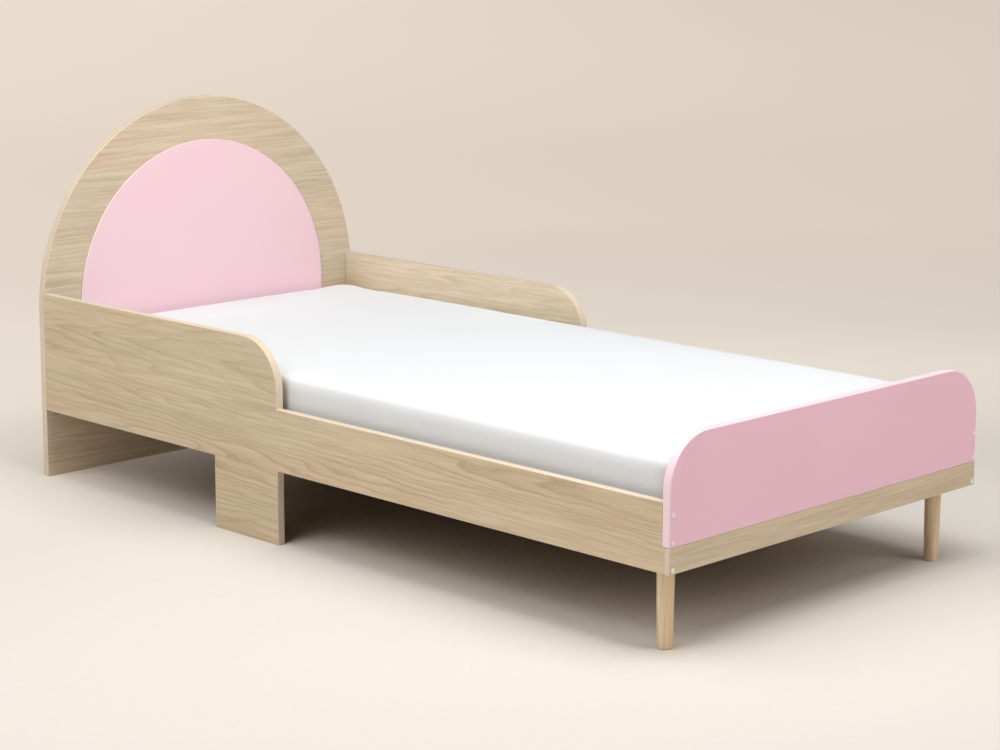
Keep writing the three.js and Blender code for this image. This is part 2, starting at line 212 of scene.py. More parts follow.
class Shader:
    """A node material, built by short calls that give back output sockets."""

    def __init__(self, name, **constants):
        self.material = bpy.data.materials.new(name)
        self.material.use_nodes = True
        self.tree = self.material.node_tree
        self.surface = self.tree.nodes["Principled BSDF"]
        for socket, value in constants.items():
            self.surface.inputs[socket.replace("_", " ")].default_value = value

    def add(self, kind, inputs, **settings):
        node = self.tree.nodes.new("ShaderNode" + kind)
        for key, value in settings.items():
            setattr(node, key, value)
        for key, value in inputs.items():
            self.put(node.inputs[key], value)
        return node

    def put(self, socket, value):
        if isinstance(value, bpy.types.NodeSocket):
            self.tree.links.new(value, socket)
        else:
            socket.default_value = value

    def surface_from(self, colour, roughness, normal):
        self.put(self.surface.inputs["Base Color"], colour)
        self.put(self.surface.inputs["Roughness"], roughness)
        self.put(self.surface.inputs["Normal"], normal)
        return self.material

    def math(self, operation, a, b=0.0):
        return self.add("Math", {0: a, 1: b}, operation=operation).outputs[0]

    def vector(self, operation, a, b):
        return self.add("VectorMath", {0: a, 1: b}, operation=operation).outputs["Vector"]

    def place(self):
        return self.add("TexCoord", {}).outputs["Object"]

    def along(self, grain):
        """Object coordinates as (along the grain, across it, through the board)."""
        parts = self.add("SeparateXYZ", {0: self.place()}).outputs
        order = {"X": (0, 2, 1), "Y": (1, 2, 0), "Z": (2, 0, 1)}[grain]
        return self.add("CombineXYZ", {i: parts[k] for i, k in enumerate(order)}).outputs[0]

    def noise(self, vector, scale, detail=2.0, roughness=0.5):
        stretched = self.vector("MULTIPLY", vector, scale)
        inputs = {"Vector": stretched, "Scale": 1.0, "Detail": detail, "Roughness": roughness}
        return self.add("TexNoise", inputs).outputs

    def ramp(self, value, stops, interpolation="B_SPLINE"):
        node = self.add("ValToRGB", {0: value})
        node.color_ramp.interpolation = interpolation
        elements = node.color_ramp.elements
        while len(elements) < len(stops):
            elements.new(0.5)
        for element, (position, level) in zip(elements, stops):
            element.position = position
            element.color = (level, level, level, 1.0)
        return node.outputs[0]

    def span(self, value, low, high, to_low, to_high):
        inputs = {0: value, 1: low, 2: high, 3: to_low, 4: to_high}
        return self.add("MapRange", inputs, clamp=True).outputs[0]

    def mix(self, factor, a, b, blend="MIX"):
        node = self.add("Mix", {}, data_type="RGBA", blend_type=blend)
        for index, value in ((0, factor), (6, a), (7, b)):
            plain = isinstance(value, tuple) and len(value) == 3
            self.put(node.inputs[index], (*value, 1.0) if plain else value)
        return node.outputs[2]

    def bump(self, height, distance):
        return self.add("Bump", {"Height": height, "Distance": distance}).outputs["Normal"]


RING_BEND = (0.8, 3.0, 3.0)  # how often the rings bend along and across the board, per metre
RING_RIPPLE = (5.5, 20.0, 20.0)
RING_RIPPLE_SIZE = (0, 0.026, 0.014)
RING_CROWDING = (0.8, 13.0, 13.0)
RING_UNEVENNESS = 8.0  # in rings, so that some stand closer than others
HALF = (0.5, 0.5, 0.5)  # the middle of a noise's values


def growth_rings(s, where, rings, pith, slope, wander):
    """0 to 1 across each growth ring of a plain-sawn board, which has so many rings a metre.

    The pith runs at a height across the board and a depth through it, and leans by the slope.
    """
    bend = s.vector("SUBTRACT", s.noise(where, RING_BEND, 2)[1], HALF)
    ripple = s.vector("SUBTRACT", s.noise(where, RING_RIPPLE, 3)[1], HALF)
    moved = s.vector("ADD", where, s.vector("MULTIPLY", bend, (0, wander, wander)))
    moved = s.vector("ADD", moved, s.vector("MULTIPLY", ripple, RING_RIPPLE_SIZE))
    parts = s.add("SeparateXYZ", {0: moved}).outputs
    lean = s.math("MULTIPLY", parts[0], slope)
    through = s.math("ADD", lean, s.math("SUBTRACT", parts[2], pith[1]))
    across = s.math("SUBTRACT", parts[1], pith[0])
    square = s.math("ADD", s.math("MULTIPLY", across, across), s.math("MULTIPLY", through, through))
    years = s.math("MULTIPLY", s.math("SQRT", square), rings)
    seasons = s.math("MULTIPLY", s.noise(where, RING_CROWDING, 2)[0], RING_UNEVENNESS)
    return s.math("FRACT", s.math("ADD", years, seasons))


OAK_LIGHT = (0.695, 0.578, 0.418)
OAK_DARK = (0.410, 0.290, 0.172)  # late wood
OAK_STREAK = (0.520, 0.398, 0.262)
OAK_PORE = (0.330, 0.230, 0.140)
OAK_WARM = (1.028, 0.985, 0.962)  # the tints that the wood drifts between
OAK_COOL = (0.978, 1.000, 0.994)
LATE_WOOD = ((0.0, 0.05), (0.50, 0.16), (0.74, 0.55), (0.86, 1.0), (0.94, 0.35), (1.0, 0.05))
PLAIN = (1.0, 1.0, 1.0)


# Scales a colour; used to paint light and shade onto copies of the oak foil.
def shade(colour, painted_light_and_shade):
    return tuple(channel * part for channel, part in zip(colour, painted_light_and_shade))


def oak(name, grain, pith, slope, painted_light_and_shade=PLAIN, rings=82.0, wander=0.045):
    """Oak-effect foil: soft ring figure, fine fibre streaks, short pores and a drift of tint."""
    s = Shader(name, Specular_IOR_Level=0.45)
    where = s.along(grain)
    ring = growth_rings(s, where, rings, pith, slope, wander)
    late = s.ramp(ring, LATE_WOOD)
    strength = s.span(s.noise(where, (1.6, 14.0, 14.0), 3, 0.6)[0], 0.42, 0.62, 0.08, 1.0)
    late = s.math("MULTIPLY", late, strength)
    fibre = s.noise(where, (7.0, 210.0, 210.0), 4, 0.65)[0]
    broad = s.noise(where, (1.8, 42.0, 42.0), 3, 0.6)[0]
    # Each board's foil colours are scaled here: painted light and shade, which make lighter and darker
    # copies of one foil.
    light, dark = shade(OAK_LIGHT, painted_light_and_shade), shade(OAK_DARK, painted_light_and_shade)
    colour = s.mix(s.math("MULTIPLY", late, 0.80), light, dark)
    streaks = s.math("ADD", s.math("MULTIPLY", fibre, 0.62), s.math("MULTIPLY", broad, 0.38))
    colour = s.mix(s.span(streaks, 0.41, 0.61, 0.0, 0.72), colour, shade(OAK_STREAK, painted_light_and_shade))
    drift = s.noise(where, (1.3, 9.0, 9.0), 2)[0]
    tinted = s.mix(s.span(drift, 0.38, 0.62, 0.0, 1.0), OAK_WARM, OAK_COOL)
    colour = s.mix(1.0, colour, tinted, "MULTIPLY")
    pore = s.noise(where, (70.0, 1500.0, 1500.0), 1)[0]
    pore = s.math("MULTIPLY", s.span(pore, 0.60, 0.70, 0.0, 1.0), s.span(late, 0.1, 0.8, 0.25, 1.0))
    colour = s.mix(s.math("MULTIPLY", pore, 0.5), colour, shade(OAK_PORE, painted_light_and_shade))
    height = s.math("SUBTRACT", s.math("MULTIPLY", fibre, 0.5), pore)
    roughness = s.span(s.math("ADD", fibre, late), 0.3, 1.5, 0.40, 0.54)
    return s.surface_from(colour, roughness, s.bump(height, 0.00012))


BAND_LIGHT = (0.745, 0.635, 0.495)
BAND_DARK = (0.640, 0.520, 0.385)


def edge_band(name):
    """The narrow strip glued to a board's edge, paler, with its grain running along it."""
    s = Shader(name, Specular_IOR_Level=0.4)
    run = s.add("UVMap", {}, uv_map="run").outputs[0]
    streak = s.noise(run, (9.0, 700.0, 1.0), 3, 0.6)[0]
    patch = s.noise(run, (1.5, 20.0, 1.0), 2)[0]
    mixed = s.math("ADD", s.math("MULTIPLY", streak, 0.6), s.math("MULTIPLY", patch, 0.4))
    colour = s.mix(s.span(mixed, 0.36, 0.64, 0, 1), BAND_LIGHT, BAND_DARK)
    return s.surface_from(colour, s.span(streak, 0.3, 0.7, 0.38, 0.5), s.bump(streak, 0.00006))


def lacquer(name, colour, deeper):
    """Sprayed satin paint on board, with a faint orange peel and dust."""
    s = Shader(name, Specular_IOR_Level=0.45, Coat_Weight=0.12, Coat_Roughness=0.25)
    where = s.place()
    cloud = s.noise(where, (2.2, 2.2, 2.2), 3)[0]
    peel = s.noise(where, (260.0, 260.0, 260.0), 2)[0]
    wave = s.noise(where, (38.0, 38.0, 38.0), 1)[0]
    tint = s.mix(s.span(cloud, 0.36, 0.64, 0.0, 1.0), colour, deeper)
    height = s.math("ADD", s.math("MULTIPLY", peel, 0.3), s.math("MULTIPLY", wave, 0.7))
    roughness = s.span(s.math("ADD", cloud, peel), 0.7, 1.3, 0.36, 0.46)
    return s.surface_from(tint, roughness, s.bump(height, 0.00007))


PINE_LIGHT = (0.760, 0.590, 0.380)
PINE_DARK = (0.590, 0.395, 0.200)  # late wood
PINE_STREAK = (0.660, 0.490, 0.300)
PINE_DRIFT = (0.700, 0.520, 0.330)
PINE_LATE_WOOD = ((0.0, 0.0), (0.5, 0.15), (0.82, 1.0), (0.9, 0.4), (1.0, 0.0))


def pine(name, grain):
    """Bare planed pine: soft rings and fine fibre."""
    s = Shader(name, Specular_IOR_Level=0.25)
    where = s.along(grain)
    ring = growth_rings(s, where, 105.0, (0.05, 0.07), 0.05, 0.06)
    late = s.ramp(ring, PINE_LATE_WOOD)
    fibre = s.noise(where, (12.0, 420.0, 420.0), 3, 0.6)[0]
    drift = s.noise(where, (1.0, 9.0, 9.0), 2)[0]
    colour = s.mix(s.math("MULTIPLY", late, 0.75), PINE_LIGHT, PINE_DARK)
    colour = s.mix(s.span(fibre, 0.38, 0.66, 0.0, 0.45), colour, PINE_STREAK)
    colour = s.mix(s.span(drift, 0.4, 0.6, 0.0, 0.5), colour, PINE_DRIFT)
    height = s.math("SUBTRACT", fibre, s.math("MULTIPLY", late, 0.35))
    return s.surface_from(colour, s.span(fibre, 0.3, 0.7, 0.58, 0.7), s.bump(height, 0.0002))


def crossed_threads(s, where, pitch):
    """Height of a weave on any face: a fine wave along each of the three axes, added."""
    parts = s.add("SeparateXYZ", {0: where}).outputs
    waves = [s.math("SINE", s.math("MULTIPLY", parts[k], 2 * math.pi / pitch)) for k in range(3)]
    return s.math("ADD", s.math("ADD", waves[0], waves[1]), waves[2])


THREAD_PITCH = 0.0011
COVER_LIGHT = (0.742, 0.758, 0.764)
COVER_DARK = (0.728, 0.744, 0.752)
COVER_THREAD = (0.704, 0.716, 0.728)


def cover_cloth(name):
    """White fitted cover: a fine smooth weave with slightly uneven threads and a soft sheen."""
    s = Shader(name, Specular_IOR_Level=0.2, Sheen_Weight=0.18, Sheen_Roughness=0.4)
    where = s.place()
    threads = crossed_threads(s, where, THREAD_PITCH)
    uneven = s.noise(where, (420.0, 420.0, 420.0), 2)[0]
    cloud = s.noise(where, (5.0, 5.0, 5.0), 3)[0]
    crease = s.noise(where, (14.0, 9.0, 14.0), 4, 0.6)[0]
    colour = s.mix(s.span(cloud, 0.35, 0.65, 0, 1), COVER_LIGHT, COVER_DARK)
    colour = s.mix(s.span(uneven, 0.3, 0.7, 0.0, 0.3), colour, COVER_THREAD)
    fine = s.math("ADD", s.math("MULTIPLY", threads, 0.05), s.math("MULTIPLY", uneven, 0.25))
    height = s.math("ADD", fine, s.math("MULTIPLY", crease, 5.0))
    return s.surface_from(colour, s.span(uneven, 0.3, 0.7, 0.78, 0.92), s.bump(height, 0.0002))


TAPE_DARK = (0.50, 0.47, 0.41)
TAPE_LIGHT = (0.80, 0.77, 0.70)
TAPE_THREAD = (0.66, 0.63, 0.56)


def webbing(name):
    """Flat polyester tape with ribs across it and a darker thread here and there."""
    s = Shader(name, Specular_IOR_Level=0.3, Sheen_Weight=0.1)
    where = s.place()
    threads = crossed_threads(s, s.vector("MULTIPLY", where, (1.0, 0.55, 0.0)), THREAD_PITCH)
    uneven = s.noise(where, (900.0, 160.0, 50.0), 2)[0]
    colour = s.mix(s.span(threads, -1.6, 1.6, 0, 1), TAPE_DARK, TAPE_LIGHT)
    colour = s.mix(s.span(uneven, 0.35, 0.7, 0.0, 0.4), colour, TAPE_THREAD)
    return s.surface_from(colour, s.span(uneven, 0.3, 0.7, 0.6, 0.8), s.bump(threads, 0.0002))


ZINC_LIGHT = (0.62, 0.63, 0.65)
ZINC_DARK = (0.50, 0.51, 0.53)


def zinc(name):
    """Zinc-plated steel with its faint spangle and scuffs."""
    s = Shader(name, Metallic=1.0)
    where = s.place()
    spangle = s.noise(where, (180.0, 180.0, 180.0), 3, 0.6)[0]
    scuff = s.noise(where, (900.0, 60.0, 900.0), 2)[0]
    colour = s.mix(s.span(spangle, 0.35, 0.65, 0, 1), ZINC_LIGHT, ZINC_DARK)
    return s.surface_from(colour, s.span(scuff, 0.3, 0.7, 0.28, 0.42), s.bump(scuff, 0.00003))


def cap_plastic(name, colour, deeper):
    """Moulded cap with a fine spark-eroded texture."""
    s = Shader(name, Specular_IOR_Level=0.5)
    where = s.place()
    grain = s.noise(where, (2500.0, 2500.0, 2500.0), 2)[0]
    tint = s.mix(s.span(grain, 0.35, 0.65, 0, 1), colour, deeper)
    return s.surface_from(tint, s.span(grain, 0.3, 0.7, 0.35, 0.45), s.bump(grain, 0.00002))


FLOOR_LIGHT = (0.724, 0.676, 0.613)
FLOOR_DARK = (0.716, 0.668, 0.605)
FLOOR_PAINTED_SHADE = (0.160, 0.128, 0.104)  # painted shade, where the bed hides nearly all the room above
FLOOR_SHADE_REACH = 1.2  # how far away something still darkens it
FLOOR_GLOW_CENTRE = (-0.5, -1.4, 0.0)
FLOOR_GLOW_REACH = 16.0
# (distance from the glow's centre, brightness)
FLOOR_GLOW = (
    (1.9, 0.0), (2.4, 0.16), (3.0, 0.34), (4.0, 0.42), (6.0, 0.58), (10.0, 0.67), (16.0, 0.71),
)
FLOOR_GLOW_LEFT = (1.08, 0.94, 0.80)
FLOOR_GLOW_RIGHT = (0.90, 0.77, 0.655)


def studio_floor(name):
    """Pale seamless floor, with painted shade right under the bed.

    It glows a little away from the bed, where the softboxes don't reach: painted light, brighter towards
    -X and +Y.
    """
    s = Shader(name, Specular_IOR_Level=0.1, Emission_Strength=1.0)
    where = s.place()
    # Painted light: the floor glows more the farther it is from the bed, brighter towards -X and +Y than
    # towards +X and -Y.
    offset = s.vector("SUBTRACT", where, FLOOR_GLOW_CENTRE)
    radius = s.add("VectorMath", {0: offset}, operation="LENGTH").outputs["Value"]
    reach = s.span(radius, 0.0, FLOOR_GLOW_REACH, 0.0, 1.0)
    glow = s.ramp(reach, [(r / FLOOR_GLOW_REACH, level) for r, level in FLOOR_GLOW], "CARDINAL")
    parts = s.add("SeparateXYZ", {0: where}).outputs
    aside = s.math("SUBTRACT", parts[0], parts[1])
    glow_colour = s.mix(s.span(aside, -6.0, 7.0, 0.0, 1.0), FLOOR_GLOW_LEFT, FLOOR_GLOW_RIGHT)
    s.put(s.surface.inputs["Emission Color"], s.mix(1.0, glow, glow_colour, "MULTIPLY"))
    grain = s.noise(where, (40.0, 40.0, 40.0), 2)[0]
    colour = s.mix(s.span(grain, 0.3, 0.7, 0.0, 1.0), FLOOR_LIGHT, FLOOR_DARK)
    # Painted shade: the floor's colour turns dark where things nearby hide the room above.
    painted_shade_mask = s.add("AmbientOcclusion", {"Distance": FLOOR_SHADE_REACH}, samples=16)
    colour = s.mix(s.span(painted_shade_mask.outputs["AO"], 0.03, 0.20, 0.0, 1.0), FLOOR_PAINTED_SHADE, colour)
    return s.surface_from(colour, s.span(grain, 0.3, 0.7, 0.85, 0.95), s.bump(grain, 0.0001))


# ---- headboard, side panels and foot end ----

HEAD_LOW, HEAD_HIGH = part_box("headboard")
INLAY_LOW, INLAY_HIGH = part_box("headboard_inlay")
FOOT_LOW, FOOT_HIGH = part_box("foot_panel")
RAIL_LOW, RAIL_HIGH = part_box("foot_rail")
PAD_LOW, PAD_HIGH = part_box("mattress")
RAIL_TOP = PAD_LOW.z + MATTRESS_RECESS

# (across, through) places of each board's pith, in the scene's metres, and painted light and shade on the
# wood: scales that make lighter and darker copies of the same foil
# The headboard's foil is painted a little darker than the same foil elsewhere: painted shade.
HEAD_PITH, HEAD_PAINTED_SHADE = (0.80, 0.900), (0.95, 0.97, 1.01)
SIDE_PITH = {"left": (0.355, -0.540), "right": (0.300, 0.395)}
# The right board's foil is painted paler and the left one's a little darker: painted light and shade.
SIDE_PAINTED_LIGHT_AND_SHADE = {"left": (0.99, 0.985, 0.965), "right": (1.08, 1.13, 1.17)}
RAIL_PITH = (0.150, -1.010)
# The legs are painted paler than the plain foil: painted light.
LEG_PITH, LEG_PAINTED_LIGHT = (0.0, -0.96), (1.27, 1.20, 1.10)

BAND = edge_band("oak_edge_band")
PINK = lacquer("pink_satin_lacquer", (0.905, 0.558, 0.662), (0.890, 0.540, 0.645))
# The inlay's pink is a paler, whiter copy of the foot panel's paint: painted light.
PINK_INLAY_PAINTED_LIGHT = lacquer("pink_satin_inlay_painted_light", (0.865, 0.610, 0.672), (0.853, 0.595, 0.657))
# A paler pink on the eased edges of the foot panel and the inlay than on their faces: painted highlight.
PINK_EDGE_PAINTED_HIGHLIGHT = lacquer("pink_satin_edge_painted_highlight", (0.930, 0.700, 0.765), (0.920, 0.685, 0.750))
PINE_ALONG_X = pine("planed_pine_x", "X")
PINE_ALONG_Y = pine("planed_pine_y", "Y")
ZINC = zinc("zinc_plate")


def make_headboard():
    face = oak("oak_foil_headboard", "X", HEAD_PITH, slope=0.07, painted_light_and_shade=HEAD_PAINTED_SHADE, wander=0.075)
    arch = rectangle(HEAD_LOW.x, HEAD_LOW.z, HEAD_HIGH.x, HEAD_HIGH.z, HEAD_HIGH.x)
    made = board("headboard_finished", arch, "XZ", HEAD_LOW.y, HEAD_HIGH.y, WOOD_EDGE, (face, BAND))
    place(made, "headboard")
    arch = rectangle(INLAY_LOW.x, INLAY_LOW.z, INLAY_HIGH.x, INLAY_HIGH.z, INLAY_HIGH.x)
    made = board("inlay_finished", arch, "XZ", INLAY_LOW.y, INLAY_HIGH.y, INLAY_EDGE,
                 (PINK_INLAY_PAINTED_LIGHT, PINK_EDGE_PAINTED_HIGHLIGHT))
    place(made, "headboard_inlay")


def side_outline(low, high):
    """Rail, guard and leg board in one outline. The rail's foot end steps round the thinner foot rail."""
    guard_end = HEAD_LOW.y - GUARD_LENGTH
    leg_head = guard_end + LEG_BOARD_WIDTH
    panel_end = FOOT_HIGH.y + SEAM
    return [
        (low.y, RAIL_LOW.z, 0), (guard_end, RAIL_LOW.z, 0), (guard_end, 0, 0), (leg_head, 0, 0),
        (leg_head, RAIL_LOW.z, 0), (high.y, RAIL_LOW.z, 0), (high.y, high.z, 0),
        (guard_end, high.z, GUARD_END_RADIUS), (guard_end, RAIL_TOP, 0),
        (panel_end, RAIL_TOP, 0), (panel_end, RAIL_HIGH.z, 0), (low.y, RAIL_HIGH.z, 0),
    ]


def make_side_panels():
    for side, _ in SIDES:
        node = f"side_panel_{side}"
        low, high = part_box(node)
        face = oak(f"oak_foil_side_{side}", "Y", SIDE_PITH[side], slope=0.055, painted_light_and_shade=SIDE_PAINTED_LIGHT_AND_SHADE[side])
        corners = side_outline(low, high)
        made = board(f"{node}_finished", corners, "YZ", low.x, high.x, WOOD_EDGE, (face, BAND))
        place(made, node)


def make_foot_end():
    panel = rectangle(FOOT_LOW.x, FOOT_LOW.z, FOOT_HIGH.x, FOOT_HIGH.z, FOOT_CORNER_RADIUS)
    made = board("foot_panel_finished", panel, "XZ", FOOT_LOW.y, FOOT_HIGH.y, LACQUER_EDGE,
                 (PINK, PINK_EDGE_PAINTED_HIGHLIGHT))
    place(made, "foot_panel")
    face = oak("oak_foil_foot_rail", "X", RAIL_PITH, slope=0.04)
    rail = rectangle(RAIL_LOW.x, RAIL_LOW.z, RAIL_HIGH.x, RAIL_HIGH.z)
    made = board("foot_rail_finished", rail, "XZ", RAIL_LOW.y, RAIL_HIGH.y, WOOD_EDGE, (face, BAND))
    place(made, "foot_rail")


LEG_BOTTOM_RADIUS = 0.015
LEG_FOOT_EASE = 0.0022
LEG_TOP_EASE = 0.0006


def leg_profile(low, high):
    """(radius, height) of a tapered leg with eased ends."""
    top, bottom, ease = (high.x - low.x) / 2, LEG_BOTTOM_RADIUS, LEG_FOOT_EASE
    height = high.z - low.z
    foot = [(bottom - ease + ease * math.sin(a), ease - ease * math.cos(a))
            for a in (0, 0.5, 1.0, math.pi / 2)]
    shaft = [(bottom + (top - bottom) * t, height * t) for t in (0.1, 0.3, 0.5, 0.7, 0.9)]
    head = [(top, height - LEG_TOP_EASE), (top - LEG_TOP_EASE, height), (0, height)]
    return [(0, 0)] + foot + shaft + head


def make_legs():
    wood = oak("turned_oak_leg", "Z", LEG_PITH, slope=0.03, painted_light_and_shade=LEG_PAINTED_LIGHT, rings=120.0)
    for side, _ in SIDES:
        low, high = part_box(f"leg_{side}")
        mesh = bmesh.new()
        centre = ((low.x + high.x) / 2, (low.y + high.y) / 2, low.z)
        turned(mesh, leg_profile(low, high), centre, (0, 0, 1), 72)
        place(finish_mesh(mesh, f"leg_{side}_finished", (wood,)), f"leg_{side}")


CAP_PINKS = (0.95, 0.78, 0.82), (0.93, 0.75, 0.79)
CAP_CREAMS = (0.95, 0.86, 0.74), (0.92, 0.83, 0.70)
CAP_PROFILE = ((0, 0), (1, 0), (1.0, 0.45), (0.96, 0.75), (0.86, 0.92), (0.60, 0.985), (0, 1.0))


def make_caps():
    """Domed plastic caps over the frame screws, pointing away from the bed."""
    pink = cap_plastic("pink_cap_plastic", *CAP_PINKS)
    cream = cap_plastic("cream_cap_plastic", *CAP_CREAMS)
    subparts = {p["node"]: p["material_slot"] for p in frame["record"]["subparts"]}
    for node in sorted(n for n in frame["nodes"] if "_cap_" in n):
        low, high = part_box(node)
        outward = -1 if node.startswith("foot") else 1
        base = high.y if outward < 0 else low.y
        radius, thick = (high.x - low.x) / 2, high.y - low.y
        profile = [(r * radius, t * thick) for r, t in CAP_PROFILE]
        mesh = bmesh.new()
        centre = ((low.x + high.x) / 2, base, (low.z + high.z) / 2)
        turned(mesh, profile, centre, (0, outward, 0), 32)
        slot = subparts[node]
        material = pink if slot == "pink_cap" else cream
        place(finish_mesh(mesh, f"{node}_finished", (material,)), node)


# ---- slatted base and hardware ----

def dress_node(node, material, ease):
    """Keeps a CAD node, with its edges eased and its own material."""
    kept = frame["nodes"][node]
    kept.data.materials.clear()
    kept.data.materials.append(material)
    if ease:
        bevel = kept.modifiers.new("ease", "BEVEL")
        bevel.width, bevel.segments, bevel.limit_method = ease, 2, "ANGLE"
        bevel.angle_limit = math.radians(40)
        flatten_shading(kept)


def is_slat(node):
    return node[:6] in ("slat_0", "slat_1")


def dress_base():
    for node in frame["nodes"]:
        if is_slat(node):
            dress_node(node, PINE_ALONG_X, 0.002)
        elif node in ("batten_head", "batten_foot"):
            dress_node(node, PINE_ALONG_X, 0.0012)
        elif node.startswith("batten_") or node.startswith("corner_block_"):
            dress_node(node, PINE_ALONG_Y, 0.0012)
        elif node.startswith("leg_plate_"):
            dress_node(node, ZINC, 0.0004)
        elif "_screw_" in node or node.startswith("leg_bolt_"):
            dress_node(node, ZINC, 0)


SCREW_HEAD = (
    (0, 0), (1.0, 0), (1.0, 0.25), (0.86, 0.62), (0.55, 0.92), (0.46, 1.0), (0.40, 1.0),
    (0.36, 0.45), (0, 0.40),
)


BATTEN_SCREW = (0.0042, 0.0022)  # a head's radius and height
PLATE_SCREW = (0.0034, 0.0015)
SLAT_SCREW = (0.0040, 0.0016)
BATTEN_SCREWS = 7
BATTEN_SCREW_MARGIN = 0.06  # from the batten's ends
PLATE_SCREW_INSET = 0.008
SLAT_SCREW_INSET = 0.014


def screw_heads(name, spots, axis, size):
    """Pan heads with a socket, joined in one piece."""
    radius, height = size
    mesh = bmesh.new()
    for spot in spots:
        turned(mesh, [(r * radius, t * height) for r, t in SCREW_HEAD], spot, axis, 16)
    made = finish_mesh(mesh, name, (ZINC,))
    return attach(made, "frame")


def spaced(low, high, count, margin):
    step = (high - low - 2 * margin) / (count - 1)
    return [low + margin + step * i for i in range(count)]


def make_hardware():
    """Screws that hold the battens, the end slats and the leg plates."""
    for side, sign in SIDES:
        low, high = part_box(f"batten_{side}")
        inner = low.x if sign > 0 else high.x
        middle = (low.z + high.z) / 2
        steps = spaced(low.y, high.y, BATTEN_SCREWS, BATTEN_SCREW_MARGIN)
        spots = [(inner, y, middle) for y in steps]
        screw_heads(f"batten_screws_{side}", spots, (-sign, 0, 0), BATTEN_SCREW)
        low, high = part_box(f"leg_plate_{side}")
        spots = [(x, y, low.z) for x in (low.x + PLATE_SCREW_INSET, high.x - PLATE_SCREW_INSET)
                 for y in (low.y + PLATE_SCREW_INSET, high.y - PLATE_SCREW_INSET)]
        screw_heads(f"plate_screws_{side}", spots, (0, 0, -1), PLATE_SCREW)
    ends = []
    for node in ("slat_01", "slat_14"):
        low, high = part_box(node)
        ends += [(x, (low.y + high.y) / 2, high.z)
                 for x in (low.x + SLAT_SCREW_INSET, high.x - SLAT_SCREW_INSET)]
    screw_heads("slat_screws", ends, (0, 0, 1), SLAT_SCREW)


def slat_middles():
    """Each slat's middle along the bed, and half a slat's width."""
    boxes = [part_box(node) for node in sorted(frame["nodes"]) if is_slat(node)]
    middles = sorted((low.y + high.y) / 2 for low, high in boxes)
    low, high = boxes[0]
    return middles, (high.y - low.y) / 2


STRAP_SAG = 0.0022
STRAP_EDGE = 0.0005


def strap_points(low, high, middles, half_slat):
    """(y, z of the underside) along a strap, which sags a little between slats."""
    points = [(low.y, low.z)]
    for one, two in zip(middles, middles[1:]):
        start, end = one + half_slat, two - half_slat
        points.append((start, low.z))
        for t in (0.2, 0.4, 0.6, 0.8):
            points.append((start + (end - start) * t, low.z - 4 * STRAP_SAG * t * (1 - t)))
        points.append((end, low.z))
    return points + [(high.y, low.z)]


def make_straps():
    """Webbing along the slats, with a staple into each."""
    tape = webbing("woven_tape")
    middles, half_slat = slat_middles()
    for side, _ in SIDES:
        low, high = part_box(f"slat_strap_{side}")
        points = strap_points(low, high, middles, half_slat)
        thick = high.z - low.z
        across = ((low.x, 0.5), (low.x + STRAP_EDGE, 1), (high.x - STRAP_EDGE, 1),
                  (high.x, 0.5), (high.x - STRAP_EDGE, 0), (low.x + STRAP_EDGE, 0))
        mesh = bmesh.new()
        rings = [[mesh.verts.new((x, y, z + thick * t)) for x, t in across] for y, z in points]
        lengths = [0.005 * i for i in range(len(across) + 1)]
        closed_bands(mesh, rings, lengths)
        for face in mesh.faces:
            face.material_index = 0
        made = finish_mesh(mesh, f"slat_strap_{side}_finished", (tape,))
        place(made, f"slat_strap_{side}")
        staples((low.x + high.x) / 2, middles, high.z, side)


def staples(x, middles, top, side):
    """A wire staple's crown across the strap at each slat."""
    half, wire, drop = 0.0055, 0.0006, 0.0011
    mesh = bmesh.new()
    for y in middles:
        for turn in (-1, 1):
            spot = (x + turn * half, y, top - drop)
            tall = drop + wire * 1.6
            turned(mesh, [(0, 0), (wire, 0), (wire, tall), (0, tall)], spot, (0, 0, 1), 8)
        start = (x - half, y, top + wire)
        turned(mesh, [(0, 0), (wire, 0), (wire, 2 * half), (0, 2 * half)], start, (1, 0, 0), 8)
    made = finish_mesh(mesh, f"strap_staples_{side}", (ZINC,))
    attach(made, "frame")


# ---- mattress ----

PAD_START_INSET = 0.004  # the filled cover starts this much smaller
PAD_CORNER_RADIUS = 0.048
PAD_EDGE_RADIUS = 0.019
PAD_VOXEL = 0.010
PAD_MOST_MOVE = 0.0045
PAD_FRAMES = 16
PAD_PINNED = 0.004  # height of the part that the slats keep flat
PAD_END_GAP = 0.0003  # inside the CAD mattress's two ends
PAD_BASE_GAP = 0.0002  # above its underside
PAD_TOP_ROOM = 0.002  # above its top
# (dips a metre, depth) of the soft core's unevenness
PAD_DIPS = ((3.1, 0.0011), (11.0, 0.0004))


def clear_of_frame(point):
    """Keeps a point of the cover within the room that the mattress has."""
    x = max(PAD_LOW.x, min(PAD_HIGH.x, point.x))
    y = max(PAD_LOW.y + PAD_END_GAP, min(PAD_HIGH.y - PAD_END_GAP, point.y))
    z = max(PAD_LOW.z + PAD_BASE_GAP, min(PAD_HIGH.z + PAD_TOP_ROOM, point.z))
    return Vector((x, y, z))


def pad_block(material):
    d = PAD_START_INSET
    plan = [(x, y, PAD_CORNER_RADIUS) for x, y in (
        (PAD_LOW.x + d, PAD_LOW.y + d), (PAD_HIGH.x - d, PAD_LOW.y + d),
        (PAD_HIGH.x - d, PAD_HIGH.y - d), (PAD_LOW.x + d, PAD_HIGH.y - d))]
    made = board("mattress_covered", plan, "XY", PAD_LOW.z + SEAM, PAD_HIGH.z - d,
                 PAD_EDGE_RADIUS, (material,), steps=6)
    made.modifiers.clear()
    return made


